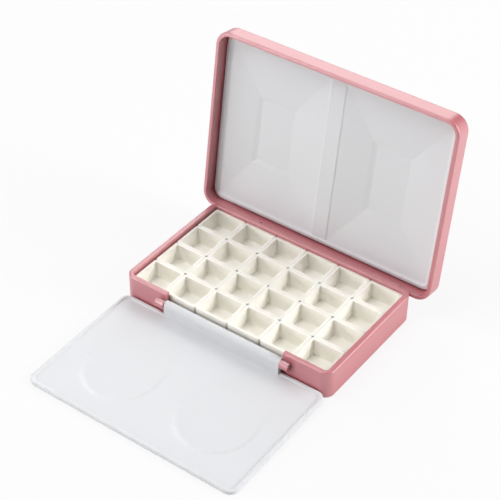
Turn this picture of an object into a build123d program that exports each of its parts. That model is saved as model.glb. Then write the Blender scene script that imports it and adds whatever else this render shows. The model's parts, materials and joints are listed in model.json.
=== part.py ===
from build123d import *
import math
import os

# Watercolour paint box, in millimetres: +X right, -Y towards the painter, +Z up.
# The origin is the middle of the case's underside, on the table.
os.makedirs("parts", exist_ok=True)

# Half pans, standing in a grid of six by four
PAN_COLUMNS = 6
PAN_ROWS = 4
PAN_PITCH_X = 19.0
PAN_PITCH_Y = 17.0
PAN_GAP = 0.1
PAN_HEIGHT = 10.4
PAN_RIM = 1.35
PAN_DEPTH = 8.8
PAN_CORNER = 1.0
PAN_HOLLOW_CORNER = 0.9
PAN_DRAFT = 2.0
PAN_HOLLOW_DRAFT = 3.5
PAN_LIP_ROUNDING = 0.15
PAN_FLOOR_ROUNDING = 0.35

# Case, open at the top, with a notch in its front wall for the tray's barrel
CASE_WALL = 2.35
CASE_SIDE_WALL = 2.9
CASE_PAN_CLEARANCE = 0.15
CASE_PAN_SIDE_PLAY = 0.6
CASE_HEIGHT = 16.3
CASE_RIM_OVER_PANS = 2.0
CASE_FLOOR = 2.0
CASE_CORNER = 5.0
CASE_POCKET_CORNER = 1.5
CASE_FOOT_WIDTH = 3.2
CASE_RIB = 1.8
CASE_CENTRE_FOOT_RADIUS = 7.0
CASE_RIM_ROUNDING = 0.8
CASE_INNER_ROUNDING = 0.4
CASE_FOOT_ROUNDING = 1.2

CASE_POCKET_X = PAN_COLUMNS * PAN_PITCH_X + 2 * CASE_PAN_SIDE_PLAY
CASE_POCKET_Y = PAN_ROWS * PAN_PITCH_Y + 2 * CASE_PAN_CLEARANCE
CASE_X = CASE_POCKET_X + 2 * CASE_SIDE_WALL
CASE_Y = CASE_POCKET_Y + 2 * CASE_WALL
PAN_TOP = CASE_HEIGHT - CASE_RIM_OVER_PANS
CASE_FLOOR_TOP = PAN_TOP - PAN_HEIGHT

# Mixing tray, whose barrel snaps into two hooks on the case's front wall
TRAY_SIDE_INSET = 0.5
TRAY_LENGTH = 73.1
TRAY_THICKNESS = 2.4
TRAY_CORNER = 4.5
TRAY_BEAD = 2.2
TRAY_FIELD_DROP = 0.7
TRAY_EDGE_ROUNDING = 0.6
TRAY_BACK_CLEARANCE = 0.1
TRAY_ON_RIM = 0.1
PIVOT_FRONT_OF_WALL = 0.6
PIVOT_Z = 10.5
BARREL_RADIUS = 2.2
BARREL_LENGTH = 68.2
WEB_THICKNESS = 2.2
STUB_RADIUS = 1.2
STUB_LENGTH = 4.4
STUB_CLEARANCE = 0.08
NOTCH_END_CLEARANCE = 0.4
NOTCH_FLOOR_CLEARANCE = 0.4
HOOK_RADIUS = 2.8
HOOK_LENGTH = 4.7
HOOK_MOUTH = 1.7

TRAY_X = CASE_X - 2 * TRAY_SIDE_INSET
PIVOT_Y = -CASE_Y / 2 - PIVOT_FRONT_OF_WALL
PIVOT_TO_FACE = CASE_HEIGHT + TRAY_ON_RIM - PIVOT_Z
NOTCH_X = BARREL_LENGTH + 2 * NOTCH_END_CLEARANCE
NOTCH_FLOOR = PIVOT_Z - BARREL_RADIUS - NOTCH_FLOOR_CLEARANCE

# Scoop wells in the tray, deepest at the painter's side and running out towards the hinge
SCOOP_RADIUS = 20.5
SCOOP_SPACING = 55.0
SCOOP_CENTRE_FROM_PIVOT = 41.9
SCOOP_RUN_OUT_FROM_PIVOT = 20.0
SCOOP_DEPTH = 1.1
SCOOP_SIDE_DRAFT = 71.6

# Lid, open and leaning back past upright, larger all round than the case
LID_X = 138.1
LID_Y = 99.5
LID_DEPTH = 10.2
LID_WALL = 2.2
LID_BACK = 1.2
LID_CORNER = 8.0
LID_BACK_ROUNDING = 2.0
LID_MOUTH_ROUNDING = 0.9
LID_MOUTH_INNER_ROUNDING = 0.4
LID_LEAN = 8.0

# Lid hinges: two, each a case knuckle between two lid knuckles on one pin
HINGE_BEHIND_WALL = 1.15
HINGE_BELOW_RIM = 2.4
HINGE_IN_LID = 2.0
HINGE_FROM_MOUTH = 0.6
HINGE_SPACING = 84.0
KNUCKLE_RADIUS = 1.4
CASE_KNUCKLE_LENGTH = 10.0
LID_KNUCKLE_LENGTH = 5.0
KNUCKLE_SIDE_CLEARANCE = 0.3
KNUCKLE_CLEARANCE = 0.4
HINGE_PIN_RADIUS = 0.6
HINGE_PIN_RUNNING_FIT = 0.06
HINGE_PIN_TIGHT_FIT = 0.02
HEEL_REACH = 8.3
HEEL_PAD = 2.8
HEEL_CLEARANCE = 0.05
HEEL_DIP = 0.6
HEEL_THICKNESS = 1.7
BRACKET_ARM = 1.0

# Palette plate that lies in the lid, with two wells like shallow upturned pyramids
PALETTE_CLEARANCE = 0.15
PALETTE_CREST = 5.7
PALETTE_FIELD = 6.2
PALETTE_EDGE = 6.55
PALETTE_FLANK = 1.3
PALETTE_CREST_WIDTH = 1.3
PALETTE_INNER_FLANK = 0.6
WELL_FLOOR = 8.3
WELL_DIVIDER = 8.0
WELL_MARGIN = 0.2
WELL_FLOOR_X = 20.6
WELL_FLOOR_Y = 38.0


def half_pan():
    """One pan with its open top at z = 0, centred on the origin."""
    outline_x = PAN_PITCH_X - PAN_GAP
    outline_y = PAN_PITCH_Y - PAN_GAP
    body = extrude(RectangleRounded(outline_x, outline_y, PAN_CORNER), -PAN_HEIGHT, taper=PAN_DRAFT)
    mouth = RectangleRounded(outline_x - 2 * PAN_RIM, outline_y - 2 * PAN_RIM, PAN_HOLLOW_CORNER)
    hollow = extrude(mouth, -PAN_DEPTH, taper=PAN_HOLLOW_DRAFT)
    hollow = fillet(hollow.faces().sort_by(Axis.Z)[0].edges(), PAN_FLOOR_ROUNDING)
    pan = body - hollow
    return fillet(pan.faces().sort_by(Axis.Z)[-1].edges(), PAN_LIP_ROUNDING)


def cylinder_along_x(radius, length, x, y, z):
    """A cylinder lying along X, centred on the given point."""
    return Pos(x, y, z) * Rot(0, 90, 0) * Cylinder(radius, length)


def profile_along_x(points, length, x):
    """A solid with the given outline in Y and Z, reaching half its length to each side of x."""
    face = make_face(Polyline([(x, y, z) for y, z in points], close=True))
    return extrude(face, length / 2, dir=(1, 0, 0), both=True)


def hook(x):
    """An upward open hook on the front wall that the tray's stub snaps into."""
    wall_face = -CASE_Y / 2
    ring = cylinder_along_x(HOOK_RADIUS, HOOK_LENGTH, x, PIVOT_Y, PIVOT_Z)
    root_low = PIVOT_Z - HOOK_RADIUS
    root = profile_along_x(
        [(PIVOT_Y, root_low), (wall_face + 0.5, root_low), (wall_face + 0.5, PIVOT_Z), (PIVOT_Y, PIVOT_Z)],
        HOOK_LENGTH, x)
    behind = Pos(x, wall_face + 0.5 + 5, PIVOT_Z) * Box(HOOK_LENGTH + 1, 10, 20)
    return ring + root - behind


def hook_hollow(x):
    """The stub's bearing in a hook and in the wall behind it, and the way in from above."""
    bore = cylinder_along_x(STUB_RADIUS + STUB_CLEARANCE, HOOK_LENGTH + 0.4, x, PIVOT_Y, PIVOT_Z)
    way_in_y = -CASE_Y / 2 - HOOK_MOUTH / 2
    way_in_z = PIVOT_Z + HOOK_RADIUS / 2 + 0.5
    way_in = Pos(x, way_in_y, way_in_z) * Box(HOOK_LENGTH + 0.4, HOOK_MOUTH, HOOK_RADIUS + 1)
    return bore + way_in


def lid_underside(y):
    """Height of the open lid's lower outer face at a given distance back."""
    corner_y = lid_origin_y()
    corner_z = lid_origin_z()
    return corner_z - (y - corner_y) * math.tan(math.radians(LID_LEAN))


def hinge_y():
    return CASE_Y / 2 + HINGE_BEHIND_WALL


def hinge_z():
    return CASE_HEIGHT - HINGE_BELOW_RIM


def lid_origin_y():
    """Where the open lid's mouth plane meets its lower outer face, in Y."""
    lean = math.radians(LID_LEAN)
    return hinge_y() - HINGE_IN_LID * math.sin(lean) - HINGE_FROM_MOUTH * math.cos(lean)


def lid_origin_z():
    """Where the open lid's mouth plane meets its lower outer face, in Z."""
    lean = math.radians(LID_LEAN)
    return hinge_z() - HINGE_IN_LID * math.cos(lean) + HINGE_FROM_MOUTH * math.sin(lean)


def hinge_bracket(x):
    """A knuckle on the case's back wall, with a heel that the open lid rests on."""
    wall = CASE_Y / 2
    heel_end = wall + HEEL_REACH
    pad_start = heel_end - HEEL_PAD
    arm_back = hinge_y() + BRACKET_ARM
    dip_end = pad_start - HEEL_DIP
    heel_low = lid_underside(heel_end) - HEEL_THICKNESS
    outline = [
        (wall - 0.5, hinge_z() + 0.6),
        (hinge_y(), hinge_z() + 0.6),
        (arm_back, hinge_z() - 0.3),
        (arm_back, lid_underside(arm_back) - HEEL_DIP),
        (dip_end, lid_underside(dip_end) - HEEL_DIP),
        (pad_start, lid_underside(pad_start) - HEEL_CLEARANCE),
        (heel_end, lid_underside(heel_end) - HEEL_CLEARANCE),
        (heel_end, heel_low),
        (arm_back + 0.5, heel_low - 1.6),
        (wall - 0.5, heel_low - 4.0),
    ]
    bracket = profile_along_x(outline, CASE_KNUCKLE_LENGTH, x)
    bracket += cylinder_along_x(KNUCKLE_RADIUS, CASE_KNUCKLE_LENGTH, x, hinge_y(), hinge_z())
    bore_radius = HINGE_PIN_RADIUS + HINGE_PIN_RUNNING_FIT
    return bracket - cylinder_along_x(bore_radius, CASE_KNUCKLE_LENGTH + 2, x, hinge_y(), hinge_z())


def lid_knuckle_places(side):
    """Where the lid's two knuckles of one hinge lie along X."""
    offset = (CASE_KNUCKLE_LENGTH + LID_KNUCKLE_LENGTH) / 2 + KNUCKLE_SIDE_CLEARANCE
    middle = side * HINGE_SPACING / 2
    return middle - offset, middle + offset


def case():
    """Case with its pocket, foot recess, front notch, tray hooks and hinge brackets."""
    body = extrude(RectangleRounded(CASE_X, CASE_Y, CASE_CORNER), CASE_HEIGHT)
    body = fillet(body.faces().sort_by(Axis.Z)[-1].edges(), CASE_RIM_ROUNDING)
    body = fillet(body.faces().sort_by(Axis.Z)[0].edges(), CASE_FOOT_ROUNDING)
    pocket = extrude(RectangleRounded(CASE_POCKET_X, CASE_POCKET_Y, CASE_POCKET_CORNER), CASE_HEIGHT)
    body -= Pos(0, 0, CASE_FLOOR_TOP) * pocket
    rim = body.faces().filter_by(Axis.Z).sort_by(Axis.Z)[-1]
    body = fillet(rim.inner_wires()[0].edges(), CASE_INNER_ROUNDING)
    recess_corner = CASE_CORNER - CASE_FOOT_WIDTH
    recess_x = CASE_X - 2 * CASE_FOOT_WIDTH
    recess_y = CASE_Y - 2 * CASE_FOOT_WIDTH
    recess_depth = CASE_FLOOR_TOP - CASE_FLOOR
    ribs = Rectangle(recess_x, CASE_RIB) + Rectangle(CASE_RIB, recess_y) + Circle(CASE_CENTRE_FOOT_RADIUS)
    recess = RectangleRounded(recess_x, recess_y, recess_corner) - ribs
    body -= extrude(recess, recess_depth)
    notch_y = -CASE_Y / 2 - 1
    notch_reach = CASE_WALL + 1
    notch_height = CASE_HEIGHT - NOTCH_FLOOR + 1
    notch = Box(NOTCH_X, notch_reach, notch_height, align=(Align.CENTER, Align.MIN, Align.MIN))
    body -= Pos(0, notch_y, NOTCH_FLOOR) * notch
    for side in (-1, 1):
        hook_x = side * (NOTCH_X + HOOK_LENGTH) / 2
        body += hook(hook_x)
        body -= hook_hollow(hook_x)
        for x in lid_knuckle_places(side):
            body -= cylinder_along_x(
                KNUCKLE_RADIUS + KNUCKLE_CLEARANCE, LID_KNUCKLE_LENGTH + 2 * KNUCKLE_CLEARANCE, x, hinge_y(), hinge_z())
        body += hinge_bracket(side * HINGE_SPACING / 2)
    return body


def scoop(x):
    """Cutter of one scoop well, below the tray's field at z = 0."""
    centre_y = -SCOOP_CENTRE_FROM_PIVOT
    run_out_y = -SCOOP_RUN_OUT_FROM_PIVOT
    length = run_out_y - centre_y
    outline = Circle(SCOOP_RADIUS) + Pos(0, length / 2) * Rectangle(2 * SCOOP_RADIUS, length)
    bowl = Pos(x, centre_y, 0) * extrude(outline, -SCOOP_DEPTH, taper=SCOOP_SIDE_DRAFT)
    deep_y = centre_y - SCOOP_RADIUS - 1
    slope = [(run_out_y + 0.5, 0.5), (run_out_y + 0.5, 0.0), (deep_y, -SCOOP_DEPTH), (deep_y, 0.5)]
    return bowl & profile_along_x(slope, 2 * SCOOP_RADIUS + 2, x)


def tray_flat():
    """Tray lying level, with its pivot on the X axis."""
    sheet_y = -TRAY_BACK_CLEARANCE - TRAY_LENGTH / 2
    outline = RectangleRounded(TRAY_X, TRAY_LENGTH, TRAY_CORNER)
    sheet = extrude(outline, -TRAY_THICKNESS)
    sheet = fillet(sheet.edges().filter_by(GeomType.LINE).group_by(Axis.Z)[0], TRAY_EDGE_ROUNDING)
    sheet = fillet(sheet.faces().sort_by(Axis.Z)[-1].edges(), TRAY_EDGE_ROUNDING)
    field_x = TRAY_X - 2 * TRAY_BEAD
    field_y = TRAY_LENGTH - 2 * TRAY_BEAD
    field = RectangleRounded(field_x, field_y, TRAY_CORNER - TRAY_BEAD)
    sheet -= extrude(field, -TRAY_FIELD_DROP, taper=40)
    tray = Pos(0, sheet_y, -PIVOT_TO_FACE) * sheet
    for side in (-1, 1):
        tray -= Pos(0, 0, -PIVOT_TO_FACE - TRAY_FIELD_DROP) * scoop(side * SCOOP_SPACING / 2)
    web_low = -PIVOT_TO_FACE - TRAY_THICKNESS / 2
    web_back = -TRAY_BACK_CLEARANCE
    web = [(web_back, web_low), (web_back, 0), (-BARREL_RADIUS, 0), (web_back - WEB_THICKNESS, web_low)]
    tray += profile_along_x(web, BARREL_LENGTH, 0)
    tray += cylinder_along_x(BARREL_RADIUS, BARREL_LENGTH, 0, 0, 0)
    stub_span = BARREL_LENGTH + 2 * STUB_LENGTH
    return tray + cylinder_along_x(STUB_RADIUS, stub_span, 0, 0, 0)


def tray_tilt():
    """Angle in degrees by which the lowered tray's far edge hangs until it meets the table."""
    far = TRAY_BACK_CLEARANCE + TRAY_LENGTH
    low = PIVOT_TO_FACE + TRAY_THICKNESS
    reach = math.hypot(far, low)
    return math.degrees(math.asin(PIVOT_Z / reach) - math.atan2(low, far))


def lid_knuckle(x):
    return cylinder_along_x(KNUCKLE_RADIUS, LID_KNUCKLE_LENGTH, x, HINGE_IN_LID, -HINGE_FROM_MOUTH)


def lid_flat():
    """Lid lying on its back: mouth at z = 0, hinge side at y = 0."""
    outline = RectangleRounded(LID_X, LID_Y, LID_CORNER)
    shell = extrude(outline, -LID_DEPTH)
    shell = fillet(shell.faces().sort_by(Axis.Z)[0].edges(), LID_BACK_ROUNDING)
    shell = fillet(shell.faces().sort_by(Axis.Z)[-1].edges(), LID_MOUTH_ROUNDING)
    inner_x = LID_X - 2 * LID_WALL
    inner_y = LID_Y - 2 * LID_WALL
    cavity = RectangleRounded(inner_x, inner_y, LID_CORNER - LID_WALL)
    shell -= extrude(cavity, -(LID_DEPTH - LID_BACK))
    rim = shell.faces().filter_by(Axis.Z).sort_by(Axis.Z)[-1]
    shell = fillet(rim.inner_wires()[0].edges(), LID_MOUTH_INNER_ROUNDING)
    shell = Pos(0, LID_Y / 2, 0) * shell
    notch_x = CASE_KNUCKLE_LENGTH + 2 * KNUCKLE_SIDE_CLEARANCE
    notch_depth = HINGE_FROM_MOUTH + KNUCKLE_RADIUS + KNUCKLE_CLEARANCE
    bore_radius = HINGE_PIN_RADIUS + HINGE_PIN_TIGHT_FIT
    for side in (-1, 1):
        x = side * HINGE_SPACING / 2
        for knuckle_x in lid_knuckle_places(side):
            shell += lid_knuckle(knuckle_x)
        shell -= Pos(x, LID_WALL / 2, -notch_depth / 2) * Box(notch_x, 4 * LID_WALL, notch_depth)
        hinge_span = notch_x + 2 * LID_KNUCKLE_LENGTH
        shell -= cylinder_along_x(bore_radius, hinge_span + 2, x, HINGE_IN_LID, -HINGE_FROM_MOUTH)
    return shell


def palette_flat():
    """Palette plate in the lid's own position, seen from the mouth."""
    plate_x = LID_X - 2 * LID_WALL - 2 * PALETTE_CLEARANCE
    plate_y = LID_Y - 2 * LID_WALL - 2 * PALETTE_CLEARANCE
    corner = LID_CORNER - LID_WALL - PALETTE_CLEARANCE
    outline = RectangleRounded(plate_x, plate_y, corner)
    floor = LID_DEPTH - LID_BACK
    plate = Pos(0, 0, -floor) * extrude(outline, floor - PALETTE_EDGE)
    flank_rise = PALETTE_EDGE - PALETTE_CREST
    flank_angle = math.degrees(math.atan(PALETTE_FLANK / flank_rise))
    plate += Pos(0, 0, -PALETTE_EDGE) * extrude(outline, flank_rise, taper=flank_angle)
    inset = PALETTE_FLANK + PALETTE_CREST_WIDTH
    field_x = plate_x - 2 * inset
    field_y = plate_y - 2 * inset
    field = RectangleRounded(field_x, field_y, corner - inset)
    field_drop = PALETTE_FIELD - PALETTE_CREST
    inner_angle = math.degrees(math.atan(PALETTE_INNER_FLANK / field_drop))
    plate -= Pos(0, 0, -PALETTE_CREST) * extrude(field, -field_drop, taper=inner_angle)
    edge_inset = PALETTE_INNER_FLANK + WELL_MARGIN
    well_x = (field_x - WELL_DIVIDER) / 2 - edge_inset
    well_y = field_y - 2 * edge_inset
    for side in (-1, 1):
        top = Pos(0, 0, -PALETTE_FIELD) * Rectangle(well_x, well_y)
        bottom = Pos(0, 0, -WELL_FLOOR) * Rectangle(WELL_FLOOR_X, WELL_FLOOR_Y)
        middle = side * (WELL_DIVIDER + well_x) / 2
        plate -= Pos(middle, 0, 0) * loft([top, bottom], ruled=True)
    return Pos(0, LID_Y / 2, 0) * plate


def hinge_pin(x):
    length = CASE_KNUCKLE_LENGTH + 2 * KNUCKLE_SIDE_CLEARANCE + 2 * LID_KNUCKLE_LENGTH
    return cylinder_along_x(HINGE_PIN_RADIUS, length, x, hinge_y(), hinge_z())


lean_angle = math.radians(LID_LEAN)
open_lid = Plane(
    origin=(0, lid_origin_y(), lid_origin_z()),
    x_dir=(1, 0, 0),
    z_dir=(0, -math.cos(lean_angle), math.sin(lean_angle)))

export_step(case(), "parts/case.step")
export_step(Pos(0, PIVOT_Y, PIVOT_Z) * Rot(tray_tilt(), 0, 0) * tray_flat(), "parts/mixing_tray.step")
export_step(open_lid * lid_flat(), "parts/lid_shell.step")
export_step(open_lid * palette_flat(), "parts/lid_palette.step")
export_step(hinge_pin(-HINGE_SPACING / 2), "parts/hinge_pin_left.step")
export_step(hinge_pin(HINGE_SPACING / 2), "parts/hinge_pin_right.step")

pan = half_pan()
for row in range(PAN_ROWS):
    for column in range(PAN_COLUMNS):
        pan_x = (column - (PAN_COLUMNS - 1) / 2) * PAN_PITCH_X
        pan_y = (row - (PAN_ROWS - 1) / 2) * PAN_PITCH_Y
        placed = Pos(pan_x, pan_y, PAN_TOP) * pan
        export_step(placed, f"parts/half_pan_{row + 1}_{column + 1}.step")

print("pivot of the tray", PIVOT_Y, PIVOT_Z, "tilt", tray_tilt(), "degrees")
print("hinge of the lid", hinge_y(), hinge_z(), "lower corner", lid_origin_y(), lid_origin_z())
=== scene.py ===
import json
import math

import bpy
from bpy.props import FloatProperty, FloatVectorProperty, PointerProperty
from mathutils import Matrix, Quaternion, Vector


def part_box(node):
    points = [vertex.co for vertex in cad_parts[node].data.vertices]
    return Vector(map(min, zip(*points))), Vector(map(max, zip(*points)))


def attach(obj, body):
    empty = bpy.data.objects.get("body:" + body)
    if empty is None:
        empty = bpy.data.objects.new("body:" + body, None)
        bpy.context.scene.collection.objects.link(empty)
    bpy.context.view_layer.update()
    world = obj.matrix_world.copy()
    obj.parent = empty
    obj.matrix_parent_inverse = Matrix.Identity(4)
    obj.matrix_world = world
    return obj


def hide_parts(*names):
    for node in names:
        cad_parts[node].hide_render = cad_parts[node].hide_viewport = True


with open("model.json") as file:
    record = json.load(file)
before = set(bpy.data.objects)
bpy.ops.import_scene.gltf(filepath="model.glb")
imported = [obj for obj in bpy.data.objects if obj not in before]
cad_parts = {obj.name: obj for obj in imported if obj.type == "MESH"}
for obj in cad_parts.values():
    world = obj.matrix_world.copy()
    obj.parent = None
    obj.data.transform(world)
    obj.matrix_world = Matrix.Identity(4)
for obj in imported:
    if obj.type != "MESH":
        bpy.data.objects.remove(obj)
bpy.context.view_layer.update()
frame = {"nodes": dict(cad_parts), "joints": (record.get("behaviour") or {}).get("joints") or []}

bl_info = {
    "name": "Watercolour Paint Box",
    "version": (1, 0, 0),
    "blender": (4, 5, 0),
    "location": "3D View > Sidebar > Paint Box",
    "description": "Dresses the paint box: pans, mixing tray, lid palette, finishes and a plain stage",
    "category": "Object",
}

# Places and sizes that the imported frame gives
JOINTS = {joint["name"]: joint for joint in frame["joints"]}
TRAY_PIVOT = Vector(JOINTS["tray_hinge"]["pos_m"])
LID_HINGE = Vector(JOINTS["lid_hinge"]["pos_m"])
PAN_NODES = sorted(name for name in frame["nodes"] if name.startswith("half_pan_"))
PAN_LOW, PAN_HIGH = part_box(PAN_NODES[0])

# A face counts as level when the upright part of its normal is above this
LEVEL_NORMAL = 0.99
# Two heights count as the same when they differ by less than this
SAME_HEIGHT = 0.00001
# Height of the plastic's grain
GRAIN_HEIGHT = 0.00002
# Edges of the pans and the tray stay firm from this angle on
FIRM_ANGLE = math.radians(40)


def length(name, description, default):
    return FloatProperty(name=name, description=description, default=default, min=0,
                         unit="LENGTH", precision=5)


def angle(name, description, degrees):
    return FloatProperty(name=name, description=description, default=math.radians(degrees), unit="ROTATION")


def colour(name, description, default):
    return FloatVectorProperty(name=name, description=description, default=default, subtype="COLOR",
                               size=3, min=0, max=1)


def amount(name, description, default, high=1.0):
    return FloatProperty(name=name, description=description, default=default, min=0, max=high, precision=4)


class FinishSettings(bpy.types.PropertyGroup):
    """Colours and surface of the plastics"""
    case_pink: colour("Case Pink", "Colour of the case and of the lid's shell", (0.54, 0.13, 0.152))
    palette_white: colour("Palette White", "Colour of the lid palette and mixing tray", (0.715, 0.722, 0.741))
    pan_cream: colour("Pan Cream", "Colour of the half pans", (0.96, 0.935, 0.86))
    pin_steel: colour("Pin Steel", "Colour of the hinge pins", (0.62, 0.62, 0.64))
    case_roughness: amount("Case Roughness", "Roughness of the pink plastic", 0.42)
    palette_roughness: amount("Palette Roughness", "Roughness of the white plastic", 0.48)
    pan_roughness: amount("Pan Roughness", "Roughness of the cream plastic", 0.38)
    pin_roughness: amount("Pin Roughness", "Roughness of the steel pins", 0.3)
    case_sheen: amount("Case Sheen", "Strength of the pink plastic's clear sheen", 1.0)
    palette_sheen: amount("Palette Sheen", "Strength of the white plastic's clear sheen", 0.05)
    pan_glow: amount("Pan Glow", "How much light passes through the cream plastic", 0.1)


class HalfPanSettings(bpy.types.PropertyGroup):
    """Sizes of one half pan"""
    rim: length("Rim", "Width of the wall at the top", 0.00135)
    depth: length("Depth", "Depth of the hollow", 0.0088)
    corner: length("Corner", "Radius of the outer upright corners", 0.001)
    lip: length("Lip", "Rounding of the rim's edges", 0.00006)
    lip_ease: length("Lip Ease", "What each step of the outer lip leaves standing", 0.00001)
    floor_rounding: length("Floor Rounding", "Rounding between the hollow's walls and floor", 0.00035)
    draft: angle("Draft", "Outer taper towards the bottom", 2.0)
    hollow_draft: angle("Hollow Draft", "Inner taper towards the floor", 3.5)


class TraySettings(bpy.types.PropertyGroup):
    """Sizes of the mixing tray"""
    width: length("Width", "Size along the hinge", 0.120)
    reach: length("Reach", "Size away from the hinge", 0.0731)
    thickness: length("Thickness", "Thickness at the bead", 0.0024)
    corner: length("Corner", "Radius of the corners", 0.0045)
    bead: length("Bead", "Width of the raised edge", 0.0022)
    bead_slope: length("Bead Slope", "Width of the slope from the bead to the field", 0.0009)
    field_drop: length("Field Drop", "Depth of the field below the bead", 0.0007)
    edge: length("Edge", "Rounding of the outer edges", 0.0006)
    face_below_pivot: length("Face Below Pivot", "Distance from the pivot down to the bead's top", 0.0059)
    back_gap: length("Back Gap", "Distance from the pivot's plane to the sheet", 0.0001)
    tilt: angle("Tilt", "Slope of the lowered tray", 1.72521)
    scoop_radius: length("Scoop Radius", "Radius of a scoop's round end", 0.0212)
    scoop_spacing: length("Scoop Spacing", "Distance between the scoops", 0.055)
    scoop_from_pivot: length("Scoop From Pivot", "Distance from the pivot to the round end's centre", 0.0419)
    scoop_run_out: length("Scoop Run Out", "Distance from the pivot at which a scoop ends", 0.020)
    scoop_depth: length("Scoop Depth", "Greatest depth of a scoop", 0.00125)
    scoop_side: length("Scoop Side", "Width of a scoop's soft side", 0.0031)
    scoop_pass: amount("Scoop Pass", "Share of the soft side by which each pass falls back", 0.6)
    grid: length("Grid", "Spacing of the cuts through the scoops", 0.0008)
    barrel_radius: length("Barrel Radius", "Radius of the hinge barrel", 0.0022)
    barrel_length: length("Barrel Length", "Length of the hinge barrel", 0.0682)
    barrel_rounding: length("Barrel Rounding", "Rounding of the barrel's ends", 0.00035)
    stub_radius: length("Stub Radius", "Radius of the stubs in the hooks", 0.0012)
    stub_length: length("Stub Length", "Length of a stub", 0.0044)
    stub_chamfer: length("Stub Chamfer", "Chamfer at a stub's end", 0.0002)
    web: length("Web", "Thickness of the web between barrel and sheet", 0.0022)


class PaletteSettings(bpy.types.PropertyGroup):
    """Sizes of the palette in the lid"""
    lean: angle("Lean", "Lean of the open lid past upright", 8.0)
    hinge_in_lid: length("Hinge In Lid", "Hinge axis from the lid's lower face", 0.002)
    hinge_from_mouth: length("Hinge From Mouth", "Hinge axis from the lid's mouth", 0.0006)
    lid_height: length("Lid Height", "Height of the open lid", 0.0995)
    width: length("Width", "Width of the plate", 0.1334)
    height: length("Height", "Height of the plate", 0.0948)
    corner: length("Corner", "Radius of the corners", 0.00565)
    back: length("Back", "Depth of the plate's back below the mouth", 0.009)
    edge: length("Edge", "Depth of the plate's edge below the mouth", 0.00655)
    crest: length("Crest", "Depth of the bead's crest below the mouth", 0.0057)
    field: length("Field", "Depth of the field below the mouth", 0.0062)
    flank: length("Flank", "Width of the bead's outer flank", 0.0013)
    crest_width: length("Crest Width", "Width of the bead's crest", 0.0013)
    inner_flank: length("Inner Flank", "Width of the bead's inner flank", 0.0006)
    well_floor: length("Well Floor", "Depth of a well's floor below the mouth", 0.0086)
    floor_width: length("Floor Width", "Width of a well's floor", 0.0196)
    floor_height: length("Floor Height", "Height of a well's floor", 0.0355)
    divider: length("Divider", "Width of the bar between the wells", 0.008)
    step_width: length("Step Width", "Width of the steep step at the top of a well", 0.00055)
    step_drop: length("Step Drop", "Height of the steep step at the top of a well", 0.0003)
    foot_width: length("Foot Width", "Width of the steeper band round a well's floor", 0.0018)
    foot_drop: length("Foot Drop", "Height of the steeper band round a well's floor", 0.00028)
    corner_join: length("Corner Join", "Distance within which a well's corner points become one", 0.003)
    grid: length("Grid", "Spacing of the cuts through the wells", 0.0009)
    softness: amount("Softness", "How far the creases are smoothed", 0.5)
    firm_angle: angle("Firm Angle", "Angle from which an edge is shaded as a crease", 25.0)


class StageSettings(bpy.types.PropertyGroup):
    """Floor, lamps and camera"""
    azimuth: angle("Azimuth", "Camera's turn from the front towards the right", 35.64)
    elevation: angle("Elevation", "Camera's height above the horizon", 39.43)
    roll: angle("Roll", "Camera's turn about its own line of sight", 0.711)
    distance: length("Distance", "Distance from the camera to the aim", 0.73055)
    lens: FloatProperty(name="Lens", description="Focal length in millimetres on a 36 mm sensor",
                        default=107.87, min=1)
    aim: FloatVectorProperty(name="Aim", description="Point that the camera looks at",
                             default=(-0.01223, 0.00155, 0.03), subtype="XYZ", size=3)
    floor_size: length("Floor Size", "Side of the square floor", 6.0)
    floor_shade: amount("Floor Shade", "Brightness of the floor's own colour", 0.86)
    floor_glow: amount("Floor Glow", "Share of plain white in what the camera sees of the floor", 0.86)
    white: amount("White", "Brightness of the plain white background", 0.98)
    fill: amount("Fill", "Strength of the even light from all sides", 0.03, 10)
    soft_size: length("Soft Size", "Side of each large lamp", 1.15)
    soft_distance: length("Soft Distance", "Distance of each large lamp from the object", 1.7)
    key_size: length("Key Size", "Side of each small lamp", 0.4)
    key_distance: length("Key Distance", "Distance of each small lamp from the object", 1.5)
    top_lamp: amount("Top Lamp", "Watts of the large lamp straight above", 4.8, 500)
    back_right_lamp: amount("Back Right Lamp", "Watts of the large lamp behind on the right", 18.0, 500)
    back_left_lamp: amount("Back Left Lamp", "Watts of the large lamp behind on the left", 11.0, 500)
    high_lamp: amount("High Lamp", "Watts of the large high lamp at the front left", 12.5, 500)
    front_key: amount("Front Key", "Watts of the small low lamp in front", 8.5, 500)
    left_key: amount("Left Key", "Watts of the small lamp on the left", 2.5, 500)
    right_key: amount("Right Key", "Watts of the small lamp on the right", 7.0, 500)


def direction(azimuth, elevation):
    """Unit vector towards a place seen from the object; azimuth turns from the front to the right."""
    across = math.cos(elevation)
    return Vector((math.sin(azimuth) * across, -math.cos(azimuth) * across, math.sin(elevation)))


def clear_selection():
    """Leaves edit mode and deselects every object."""
    if bpy.context.mode != "OBJECT":
        bpy.ops.object.mode_set(mode="OBJECT")
    bpy.ops.object.select_all(action="DESELECT")


def make_active(piece):
    """Selects the piece alone and makes it the active object."""
    clear_selection()
    piece.select_set(True)
    bpy.context.view_layer.objects.active = piece


def pick(piece, kind, test):
    """Selects the faces or vertices that pass the test, and leaves the piece in edit mode."""
    bpy.ops.object.mode_set(mode="EDIT")
    bpy.ops.mesh.select_mode(type={"polygons": "FACE", "vertices": "VERT"}[kind])
    bpy.ops.mesh.select_all(action="DESELECT")
    bpy.ops.object.mode_set(mode="OBJECT")
    found = 0
    for part in getattr(piece.data, kind):
        part.select = bool(test(part))
        found += part.select
    bpy.ops.object.mode_set(mode="EDIT")
    if not found:
        raise RuntimeError(f"nothing on {piece.name} passes the test")


def is_level(face, height):
    """Whether the face looks straight up and lies at the height."""
    return face.normal.z > LEVEL_NORMAL and abs(face.center.z - height) < SAME_HEIGHT


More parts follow.
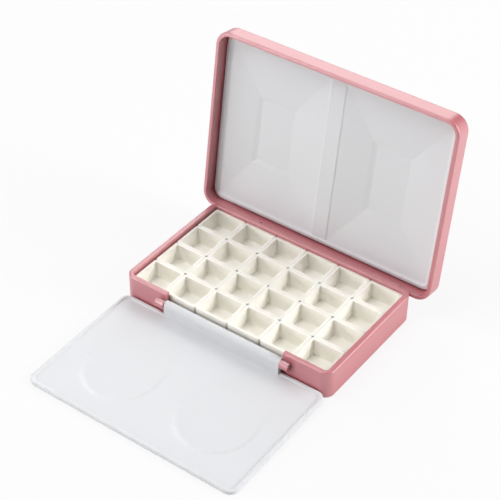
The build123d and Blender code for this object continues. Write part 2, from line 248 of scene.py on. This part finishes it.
def rounded_sheet(name, size_x, size_y, corner, segments, z):
    """A flat sheet with round corners at the height z, left in edit mode with its one face selected."""
    clear_selection()
    bpy.ops.mesh.primitive_plane_add(size=1, enter_editmode=True, location=(0, 0, 0))
    piece = bpy.context.object
    piece.name = piece.data.name = name
    bpy.ops.transform.resize(value=(size_x, size_y, 1))
    bpy.ops.transform.translate(value=(0, 0, z))
    bpy.ops.mesh.bevel(offset=corner, segments=segments, affect="VERTICES")
    bpy.ops.mesh.select_mode(type="FACE")
    bpy.ops.mesh.select_all(action="SELECT")
    return piece


def raise_cap(rise):
    """Extrudes the selected cap upwards, or downwards where the rise is negative."""
    bpy.ops.mesh.extrude_region_move(TRANSFORM_OT_translate={"value": (0, 0, rise)})


def step_in(width, rise):
    """Insets the selected cap by the width and moves it along its own normal by the rise."""
    bpy.ops.mesh.inset(thickness=width, depth=rise, use_even_offset=True)


def arc_steps(radius, count, inward_first):
    """(width, rise) steps of a quarter round; it starts level where inward_first and else upright."""
    steps = []
    for k in range(count):
        a, b = (math.pi / 2 * (k + side) / count for side in (0, 1))
        along = radius * (math.sin(b) - math.sin(a))
        across = radius * (math.cos(a) - math.cos(b))
        steps.append((along, across) if inward_first else (across, along))
    return steps


def smooth(piece):
    """Smooth shading with firm creases, the large faces kept flat."""
    make_active(piece)
    bpy.ops.object.shade_smooth_by_angle(angle=FIRM_ANGLE)
    even = piece.modifiers.new("Even Shading", "WEIGHTED_NORMAL")
    even.keep_sharp = True
    bpy.ops.object.modifier_apply(modifier=even.name)


def put(piece, turn_x, place):
    """Turns the finished piece about X and moves it, with its place kept in the mesh."""
    make_active(piece)
    piece.rotation_euler = (turn_x, 0, 0)
    piece.location = place
    bpy.ops.object.transform_apply(location=True, rotation=True, scale=True)


def paint(piece, material):
    """Gives the piece this one material."""
    piece.data.materials.clear()
    piece.data.materials.append(material)


def dress(piece, material, node, body):
    """Gives the piece its material and lets it stand for a node of the frame."""
    paint(piece, material)
    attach(piece, body)
    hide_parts(node)


def moulded_surface():
    """Node group of a moulded plastic's surface: faint mottling, uneven gloss and a fine grain."""
    group = bpy.data.node_groups.get("Moulded Surface")
    if group:
        return group
    group = bpy.data.node_groups.new("Moulded Surface", "ShaderNodeTree")
    inputs = (("Colour", "NodeSocketColor", (0.8, 0.8, 0.8, 1)), ("Mottle", "NodeSocketFloat", 0.03),
              ("Mottle Scale", "NodeSocketFloat", 60.0), ("Roughness", "NodeSocketFloat", 0.4),
              ("Gloss Spread", "NodeSocketFloat", 0.06), ("Grain Scale", "NodeSocketFloat", 3000.0),
              ("Grain", "NodeSocketFloat", 0.5))
    for name, kind, default in inputs:
        group.interface.new_socket(name, in_out="INPUT", socket_type=kind).default_value = default
    outputs = (("Colour", "NodeSocketColor"), ("Roughness", "NodeSocketFloat"), ("Height", "NodeSocketFloat"))
    for name, kind in outputs:
        group.interface.new_socket(name, in_out="OUTPUT", socket_type=kind)
    nodes, links = group.nodes, group.links
    given = nodes.new("NodeGroupInput")
    result = nodes.new("NodeGroupOutput")
    where = nodes.new("ShaderNodeTexCoord")
    mottle = nodes.new("ShaderNodeTexNoise")
    mottle.inputs["Detail"].default_value = 3.0
    grain = nodes.new("ShaderNodeTexNoise")
    grain.inputs["Detail"].default_value = 2.0
    links.new(where.outputs["Object"], mottle.inputs["Vector"])
    links.new(where.outputs["Object"], grain.inputs["Vector"])
    links.new(given.outputs["Mottle Scale"], mottle.inputs["Scale"])
    links.new(given.outputs["Grain Scale"], grain.inputs["Scale"])
    centred = nodes.new("ShaderNodeMath")
    centred.operation = "SUBTRACT"
    centred.inputs[1].default_value = 0.5
    links.new(mottle.outputs["Fac"], centred.inputs[0])
    shade = nodes.new("ShaderNodeMath")
    shade.operation = "MULTIPLY_ADD"
    shade.inputs[2].default_value = 1.0
    links.new(centred.outputs[0], shade.inputs[0])
    links.new(given.outputs["Mottle"], shade.inputs[1])
    tinted = nodes.new("ShaderNodeVectorMath")
    tinted.operation = "SCALE"
    links.new(given.outputs["Colour"], tinted.inputs[0])
    links.new(shade.outputs[0], tinted.inputs["Scale"])
    links.new(tinted.outputs[0], result.inputs["Colour"])
    gloss = nodes.new("ShaderNodeMath")
    gloss.operation = "MULTIPLY_ADD"
    links.new(centred.outputs[0], gloss.inputs[0])
    links.new(given.outputs["Gloss Spread"], gloss.inputs[1])
    links.new(given.outputs["Roughness"], gloss.inputs[2])
    links.new(gloss.outputs[0], result.inputs["Roughness"])
    height = nodes.new("ShaderNodeMath")
    height.operation = "MULTIPLY"
    links.new(grain.outputs["Fac"], height.inputs[0])
    links.new(given.outputs["Grain"], height.inputs[1])
    links.new(height.outputs[0], result.inputs["Height"])
    return group


def moulded_plastic(name, base, roughness, constants, **values):
    """A material with the moulded surface; constants go on the shader, values on the surface's inputs."""
    material = bpy.data.materials.get(name)
    if material:
        return material
    material = bpy.data.materials.new(name)
    material.use_nodes = True
    nodes, links = material.node_tree.nodes, material.node_tree.links
    shader = nodes["Principled BSDF"]
    for key, value in constants.items():
        shader.inputs[key].default_value = value
    surface = nodes.new("ShaderNodeGroup")
    surface.node_tree = moulded_surface()
    surface.inputs["Colour"].default_value = (*base, 1)
    surface.inputs["Roughness"].default_value = roughness
    for key, value in values.items():
        surface.inputs[key.replace("_", " ").title()].default_value = value
    bump = nodes.new("ShaderNodeBump")
    bump.inputs["Distance"].default_value = GRAIN_HEIGHT
    links.new(surface.outputs["Colour"], shader.inputs["Base Color"])
    links.new(surface.outputs["Roughness"], shader.inputs["Roughness"])
    links.new(surface.outputs["Height"], bump.inputs["Height"])
    links.new(bump.outputs["Normal"], shader.inputs["Normal"])
    return material


def finishes():
    return bpy.context.scene.paint_box_finish


def case_material():
    finish = finishes()
    sheen = {"Specular IOR Level": 0.9, "Coat Weight": finish.case_sheen, "Coat IOR": 2.0,
             "Coat Roughness": 0.4}
    return moulded_plastic("Pink Plastic", finish.case_pink, finish.case_roughness, sheen, mottle=0.05,
                           mottle_scale=45.0, gloss_spread=0.10, grain_scale=2600.0, grain=0.6)


def palette_material():
    finish = finishes()
    sheen = {"Specular IOR Level": 0.22, "Coat Weight": finish.palette_sheen, "Coat Roughness": 0.3}
    return moulded_plastic("White Plastic", finish.palette_white, finish.palette_roughness, sheen,
                           mottle=0.03, mottle_scale=38.0, gloss_spread=0.08, grain_scale=2200.0, grain=0.3)


def pan_material():
    finish = finishes()
    glow = {"Subsurface Weight": finish.pan_glow, "Subsurface Scale": 0.002,
            "Subsurface Radius": (1.0, 0.9, 0.7)}
    return moulded_plastic("Cream Plastic", finish.pan_cream, finish.pan_roughness, glow, mottle=0.04,
                           mottle_scale=90.0, gloss_spread=0.08, grain_scale=2600.0, grain=0.3)


def pin_material():
    finish = finishes()
    return moulded_plastic("Pin Steel", finish.pin_steel, finish.pin_roughness, {"Metallic": 1.0}, mottle=0.1,
                           mottle_scale=400.0, gloss_spread=0.2, grain_scale=5000.0, grain=0.5)


class PAINTBOX_OT_case_finish(bpy.types.Operator):
    """Give the case, the lid's shell and the hinge pins their finishes"""
    bl_idname = "paint_box.case_finish"
    bl_label = "Case and Lid Finish"

    def execute(self, context):
        coats = {"case": case_material(), "lid_shell": case_material(),
                 "hinge_pin_left": pin_material(), "hinge_pin_right": pin_material()}
        for node, material in coats.items():
            paint(frame["nodes"][node], material)
        return {"FINISHED"}


class PAINTBOX_OT_half_pans(bpy.types.Operator):
    """Model one half pan and set a copy of it in every place of the grid"""
    bl_idname = "paint_box.half_pans"
    bl_label = "Half Pans"

    def section(self, size_x, size_y, rise):
        """Extrudes the cap to its next section, given by its size and its height above the last one."""
        raise_cap(rise)
        bpy.ops.transform.resize(value=(size_x / self.size[0], size_y / self.size[1], 1),
                                 center_override=(0, 0, 0))
        self.size = (size_x, size_y)

    def narrow(self, less, rise):
        """Extrudes the cap to a section that is narrower by the given length both ways."""
        self.section(self.size[0] - less, self.size[1] - less, rise)

    def model(self, pan):
        """One half pan, its top at z = 0: up the outside, over the rim and down into the hollow."""
        outer = PAN_HIGH - PAN_LOW
        taper = 2 * math.tan(pan.draft) * outer.z
        foot_x, foot_y = outer.x - taper, outer.y - taper
        self.size = (foot_x - pan.lip, foot_y - pan.lip)
        piece = rounded_sheet("half_pan_model", *self.size, pan.corner, segments=6, z=-outer.z)
        self.section(foot_x, foot_y, pan.lip / 2)
        upright = outer.z - pan.lip / 2 - pan.lip
        self.narrow(-taper * upright / outer.z, upright)
        for width, rise in arc_steps(pan.lip, 3, False):
            self.narrow(2 * width - pan.lip_ease, rise)
        self.narrow(2 * (pan.rim - 2 * pan.lip), 0)
        for width, rise in arc_steps(pan.lip, 3, True):
            self.narrow(2 * width, -rise)
        down = pan.depth - pan.lip - pan.floor_rounding
        self.narrow(2 * math.tan(pan.hollow_draft) * down, -down)
        for width, rise in arc_steps(pan.floor_rounding, 4, False):
            self.narrow(2 * width, -rise)
        bpy.ops.mesh.select_all(action="SELECT")
        bpy.ops.mesh.normals_make_consistent(inside=False)
        smooth(piece)
        return piece

    def execute(self, context):
        model = self.model(context.scene.paint_box_pan)
        for node in PAN_NODES:
            low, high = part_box(node)
            make_active(model)
            bpy.ops.object.duplicate()
            piece = context.object
            piece.name = piece.data.name = node.replace("half_pan", "pan_body")
            put(piece, 0, ((low.x + high.x) / 2, (low.y + high.y) / 2, high.z))
            dress(piece, pan_material(), node, node)
        bpy.data.objects.remove(model)
        return {"FINISHED"}


class PAINTBOX_OT_mixing_tray(bpy.types.Operator):
    """Model the mixing tray with its bead, its two soft scoops and its hinge barrel"""
    bl_idname = "paint_box.mixing_tray"
    bl_label = "Mixing Tray"

    def sheet(self, tray):
        """The sheet lying level about its own middle, with its bead's top at z = 0.

        It starts at its widest outline, from which one cap rises and the other goes down."""
        piece = rounded_sheet("tray_sheet", tray.width, tray.reach, tray.corner, segments=10, z=-tray.edge)
        raise_cap(0)
        for width, rise in arc_steps(tray.edge, 4, False):
            step_in(width, rise)
        step_in(tray.bead - tray.edge - tray.bead_slope, 0)
        for width_share, drop_share in ((0.25, 0.12), (0.5, 0.76), (0.25, 0.12)):
            step_in(tray.bead_slope * width_share, -tray.field_drop * drop_share)
        pick(piece, "polygons", lambda face: face.normal.z < -LEVEL_NORMAL)
        raise_cap(2 * tray.edge - tray.thickness)
        for width, rise in arc_steps(tray.edge, 4, False):
            step_in(width, rise)
        return piece

    def cuts(self, start, reach, grid, along):
        """Cuts the whole mesh by evenly spaced planes across the given axis."""
        count = math.ceil(reach / grid)
        for k in range(count + 1):
            bpy.ops.mesh.select_all(action="SELECT")
            bpy.ops.mesh.bisect(plane_co=Vector(along) * (start + reach * k / count), plane_no=along)

    def scoops(self, piece, tray):
        """Cuts a fine grid through the field and sinks the two scoops into it pass by pass."""
        middle_y = tray.back_gap + tray.reach / 2 - tray.scoop_from_pivot
        run_out = tray.back_gap + tray.reach / 2 - tray.scoop_run_out
        outer = tray.scoop_radius + tray.scoop_side
        for side in (-1, 1):
            middle_x = side * tray.scoop_spacing / 2
            self.cuts(middle_x - outer, 2 * outer, tray.grid, (1, 0, 0))
        low_y = middle_y - outer
        self.cuts(low_y, run_out + tray.scoop_side - low_y, tray.grid, (0, 1, 0))
        inner = tray.scoop_radius - tray.scoop_side
        deep_y = middle_y - inner
        passes = math.ceil((run_out - deep_y) / (tray.scoop_side * tray.scoop_pass))
        pick(piece, "polygons", lambda face: is_level(face, -tray.field_drop))
        bpy.ops.mesh.hide(unselected=True)
        for k in range(passes):
            edge_y = run_out - (run_out - deep_y) * (k + 0.5) / passes

            def in_scoop(vertex):
                x, y = abs(vertex.co.x) - tray.scoop_spacing / 2, vertex.co.y
                if y > edge_y:
                    return False
                return math.hypot(x, min(0, y - middle_y)) < inner

            pick(piece, "vertices", lambda vertex: not vertex.hide and in_scoop(vertex))
            bpy.ops.transform.translate(
                value=(0, 0, -tray.scoop_depth / passes), use_proportional_edit=True,
                proportional_edit_falloff="SMOOTH", proportional_size=tray.scoop_side)
        bpy.ops.mesh.reveal()

    def barrel(self, tray):
        """The hinge barrel on the X axis, with a stub at each end."""
        clear_selection()
        bpy.ops.mesh.primitive_cylinder_add(vertices=56, radius=tray.barrel_radius, depth=tray.barrel_length,
                                            location=(0, 0, 0), rotation=(0, math.pi / 2, 0))
        piece = bpy.context.object
        piece.name = piece.data.name = "tray_barrel"
        bpy.ops.object.transform_apply(location=True, rotation=True, scale=True)
        for side in (-1, 1):
            pick(piece, "polygons", lambda face: side * face.normal.x > LEVEL_NORMAL)
            for width, rise in arc_steps(tray.barrel_rounding, 3, False):
                step_in(width, rise - tray.barrel_rounding / 3)
            step_in(tray.barrel_radius - tray.barrel_rounding - tray.stub_radius, 0)
            bpy.ops.mesh.extrude_region_move(
                TRANSFORM_OT_translate={"value": (side * (tray.stub_length - tray.stub_chamfer), 0, 0)})
            step_in(tray.stub_chamfer, tray.stub_chamfer)
        return piece

    def web(self, tray):
        """The web that carries the barrel above the sheet's rear edge."""
        clear_selection()
        bpy.ops.mesh.primitive_cube_add(size=1, location=(0, 0, 0), enter_editmode=True)
        piece = bpy.context.object
        piece.name = piece.data.name = "tray_web"
        low = -tray.face_below_pivot - tray.thickness / 2
        back = -tray.back_gap
        bpy.ops.transform.resize(value=(tray.barrel_length, tray.web, -low))
        bpy.ops.transform.translate(value=(0, back - tray.web / 2, low / 2))
        return piece

    def execute(self, context):
        tray = context.scene.paint_box_tray
        piece = self.sheet(tray)
        self.scoops(piece, tray)
        put(piece, 0, (0, -tray.back_gap - tray.reach / 2, -tray.face_below_pivot))
        for other in (self.web(tray), self.barrel(tray)):
            join = piece.modifiers.new("Join", "BOOLEAN")
            join.operation = "UNION"
            join.solver = "EXACT"
            join.object = other
            make_active(piece)
            bpy.ops.object.modifier_apply(modifier=join.name)
            bpy.data.objects.remove(other)
        smooth(piece)
        put(piece, tray.tilt, TRAY_PIVOT)
        piece.name = piece.data.name = "tray_body"
        dress(piece, palette_material(), "mixing_tray", "tray")
        return {"FINISHED"}


class PAINTBOX_OT_lid_palette(bpy.types.Operator):
    """Model the palette plate with its bead and its two wells with soft creases"""
    bl_idname = "paint_box.lid_palette"
    bl_label = "Lid Palette"

    def bead(self, plate):
        """The plate with its bead, left in edit mode with the field selected."""
        piece = rounded_sheet("palette_plate", plate.width, plate.height, plate.corner,
                              segments=8, z=-plate.back)
        raise_cap(plate.back - plate.edge)
        for width_share, rise_share in ((0.7, 0.8), (0.3, 0.2)):
            step_in(plate.flank * width_share, (plate.edge - plate.crest) * rise_share)
        step_in(plate.crest_width, 0)
        for width_share, drop_share in ((0.3, 0.2), (0.4, 0.6), (0.3, 0.2)):
            step_in(plate.inner_flank * width_share, -(plate.field - plate.crest) * drop_share)
        return piece

    def well(self, piece, plate, side, well_x, well_y):
        """Sinks one well: a steep step, a long slope with one point at each corner, and a foot."""
        pick(piece, "polygons",
             lambda face: is_level(face, -plate.field) and side * face.center.x > plate.divider)
        step_in(plate.step_width, -plate.step_drop)
        raise_cap(plate.field - plate.well_floor + plate.step_drop + plate.foot_drop)
        wide = well_x - plate.divider / 2 - 2 * plate.step_width
        high = 2 * (well_y - plate.step_width)
        foot_x = plate.floor_width + 2 * plate.foot_width
        foot_y = plate.floor_height + 2 * plate.foot_width
        bpy.ops.transform.resize(value=(foot_x / wide, foot_y / high, 1),
                                 center_override=(side * (plate.divider / 2 + well_x) / 2, 0, 0))
        bpy.ops.mesh.remove_doubles(threshold=plate.corner_join)
        step_in(plate.foot_width, -plate.foot_drop)

    def soften(self, piece, plate, well_x, well_y):
        """Cuts a grid through the wells and smooths it, so that the creases turn soft and the edges stay."""
        step_foot = -plate.field - plate.step_drop
        for half, along in ((well_y, Vector((0, 1, 0))), (well_x, Vector((1, 0, 0)))):
            for k in range(1, math.ceil(half * 2 / plate.grid)):
                pick(piece, "polygons", lambda face: face.center.z < step_foot and face.normal.z > 0.5)
                bpy.ops.mesh.bisect(plane_co=along * (k * plate.grid - half), plane_no=along)
        back = -plate.back + SAME_HEIGHT
        pick(piece, "vertices", lambda vertex: back < vertex.co.z < step_foot - SAME_HEIGHT)
        bpy.ops.mesh.vertices_smooth(factor=plate.softness, repeat=2, xaxis=False, yaxis=False)

    def execute(self, context):
        plate = context.scene.paint_box_palette
        piece = self.bead(plate)
        inset = plate.flank + plate.crest_width + plate.inner_flank
        well_x, well_y = plate.width / 2 - inset, plate.height / 2 - inset
        for side in (-1, 1):
            pick(piece, "polygons", lambda face: is_level(face, -plate.field))
            bpy.ops.mesh.bisect(plane_co=(side * plate.divider / 2, 0, 0), plane_no=(1, 0, 0))
        for side in (-1, 1):
            self.well(piece, plate, side, well_x, well_y)
        self.soften(piece, plate, well_x, well_y)
        make_active(piece)
        bpy.ops.object.shade_smooth_by_angle(angle=plate.firm_angle)
        put(piece, 0, (0, plate.lid_height / 2, 0))
        lean_sin, lean_cos = math.sin(plate.lean), math.cos(plate.lean)
        corner_y = LID_HINGE.y - plate.hinge_in_lid * lean_sin - plate.hinge_from_mouth * lean_cos
        corner_z = LID_HINGE.z - plate.hinge_in_lid * lean_cos + plate.hinge_from_mouth * lean_sin
        put(piece, math.pi / 2 - plate.lean, (0, corner_y, corner_z))
        dress(piece, palette_material(), "lid_palette", "lid")
        return {"FINISHED"}


def grey(value):
    return (value, value, value, 1)


class PAINTBOX_OT_stage(bpy.types.Operator):
    """Make the pale floor, the soft lamps and the camera"""
    bl_idname = "paint_box.stage"
    bl_label = "Stage"

    def paper(self, stage):
        """Floor material: white to the camera, yet it takes the object's shadow."""
        material = bpy.data.materials.new("Pale Floor")
        material.use_nodes = True
        nodes, links = material.node_tree.nodes, material.node_tree.links
        shader = nodes["Principled BSDF"]
        shader.inputs["Base Color"].default_value = grey(stage.floor_shade)
        shader.inputs["Roughness"].default_value = 0.9
        glow = nodes.new("ShaderNodeEmission")
        glow.inputs["Color"].default_value = grey(stage.white)
        glow.inputs["Strength"].default_value = 1.0
        path = nodes.new("ShaderNodeLightPath")
        share = nodes.new("ShaderNodeMath")
        share.operation = "MULTIPLY"
        share.inputs[1].default_value = stage.floor_glow
        links.new(path.outputs["Is Camera Ray"], share.inputs[0])
        mixed = nodes.new("ShaderNodeMixShader")
        links.new(share.outputs[0], mixed.inputs["Fac"])
        links.new(shader.outputs[0], mixed.inputs[1])
        links.new(glow.outputs[0], mixed.inputs[2])
        links.new(mixed.outputs[0], nodes["Material Output"].inputs["Surface"])
        return material

    def sky(self, stage):
        """Even light from all sides, while the camera itself sees plain white."""
        world = bpy.data.worlds.new("Studio")
        bpy.context.scene.world = world
        world.use_nodes = True
        nodes, links = world.node_tree.nodes, world.node_tree.links
        backdrop = nodes["Background"]
        backdrop.inputs["Color"].default_value = grey(stage.white)
        backdrop.inputs["Strength"].default_value = 1.0
        fill = nodes.new("ShaderNodeBackground")
        fill.inputs["Color"].default_value = grey(1)
        fill.inputs["Strength"].default_value = stage.fill
        path = nodes.new("ShaderNodeLightPath")
        mixed = nodes.new("ShaderNodeMixShader")
        links.new(path.outputs["Is Camera Ray"], mixed.inputs["Fac"])
        links.new(fill.outputs[0], mixed.inputs[1])
        links.new(backdrop.outputs[0], mixed.inputs[2])
        links.new(mixed.outputs[0], nodes["World Output"].inputs["Surface"])

    def lamp(self, name, azimuth, elevation, distance, size, power):
        """A square lamp that looks at the origin; azimuth and elevation are in degrees."""
        light = bpy.data.lights.new(name, "AREA")
        light.shape = "SQUARE"
        light.size = size
        light.energy = power
        holder = bpy.data.objects.new(name, light)
        bpy.context.scene.collection.objects.link(holder)
        place = direction(math.radians(azimuth), math.radians(elevation)) * distance
        holder.location = place
        holder.rotation_mode = "QUATERNION"
        holder.rotation_quaternion = (-place).to_track_quat("-Z", "Y")

    def camera(self, stage):
        """The scene's camera, at its distance from the aim and looking at it."""
        back = direction(stage.azimuth, stage.elevation)
        data = bpy.data.cameras.new("Camera")
        data.lens = stage.lens
        data.sensor_width = 36.0
        holder = bpy.data.objects.new("Camera", data)
        bpy.context.scene.collection.objects.link(holder)
        holder.location = Vector(stage.aim) + back * stage.distance
        holder.rotation_mode = "QUATERNION"
        roll = Quaternion((0, 0, 1), stage.roll)
        holder.rotation_quaternion = (-back).to_track_quat("-Z", "Y") @ roll
        bpy.context.scene.camera = holder

    def execute(self, context):
        stage = context.scene.paint_box_stage
        clear_selection()
        bpy.ops.mesh.primitive_plane_add(size=stage.floor_size, location=(0, 0, 0))
        floor = context.object
        floor.name = "floor"
        floor.data.materials.append(self.paper(stage))
        self.sky(stage)
        soft = (stage.soft_distance, stage.soft_size)
        key = (stage.key_distance, stage.key_size)
        # Each lamp's azimuth and elevation, then its distance, size and power
        self.lamp("Top Lamp", 0, 90, *soft, stage.top_lamp)
        self.lamp("Back Right Lamp", 120, 30, *soft, stage.back_right_lamp)
        self.lamp("Back Left Lamp", 212, 33, *soft, stage.back_left_lamp)
        self.lamp("High Lamp", 315, 60, *soft, stage.high_lamp)
        self.lamp("Front Key", 325, 10, *key, stage.front_key)
        self.lamp("Left Key", 290, 25, *key, stage.left_key)
        self.lamp("Right Key", 105, 20, *key, stage.right_key)
        self.camera(stage)
        context.scene.view_settings.view_transform = "Standard"
        return {"FINISHED"}


OPERATORS = (
    PAINTBOX_OT_case_finish,
    PAINTBOX_OT_half_pans,
    PAINTBOX_OT_mixing_tray,
    PAINTBOX_OT_lid_palette,
    PAINTBOX_OT_stage,
)

SETTINGS = {
    "paint_box_finish": FinishSettings,
    "paint_box_pan": HalfPanSettings,
    "paint_box_tray": TraySettings,
    "paint_box_palette": PaletteSettings,
    "paint_box_stage": StageSettings,
}


class PAINTBOX_PT_sidebar(bpy.types.Panel):
    """The paint box's settings and the steps that build it"""
    bl_idname = "PAINTBOX_PT_sidebar"
    bl_label = "Watercolour Paint Box"
    bl_space_type = "VIEW_3D"
    bl_region_type = "UI"
    bl_category = "Paint Box"

    def draw(self, context):
        for name in SETTINGS:
            settings = getattr(context.scene, name)
            column = self.layout.column(align=True)
            for key in settings.__annotations__:
                column.prop(settings, key)
        for operator in OPERATORS:
            self.layout.operator(operator.bl_idname)


def register():
    for name, group in SETTINGS.items():
        bpy.utils.register_class(group)
        setattr(bpy.types.Scene, name, PointerProperty(type=group))
    for operator in OPERATORS:
        bpy.utils.register_class(operator)
    bpy.utils.register_class(PAINTBOX_PT_sidebar)


def unregister():
    bpy.utils.unregister_class(PAINTBOX_PT_sidebar)
    for operator in reversed(OPERATORS):
        bpy.utils.unregister_class(operator)
    for name, group in SETTINGS.items():
        delattr(bpy.types.Scene, name)
        bpy.utils.unregister_class(group)


def main():
    register()
    bpy.ops.paint_box.case_finish()
    bpy.ops.paint_box.half_pans()
    bpy.ops.paint_box.mixing_tray()
    bpy.ops.paint_box.lid_palette()
    bpy.ops.paint_box.stage()


if __name__ == "__main__":
    main()
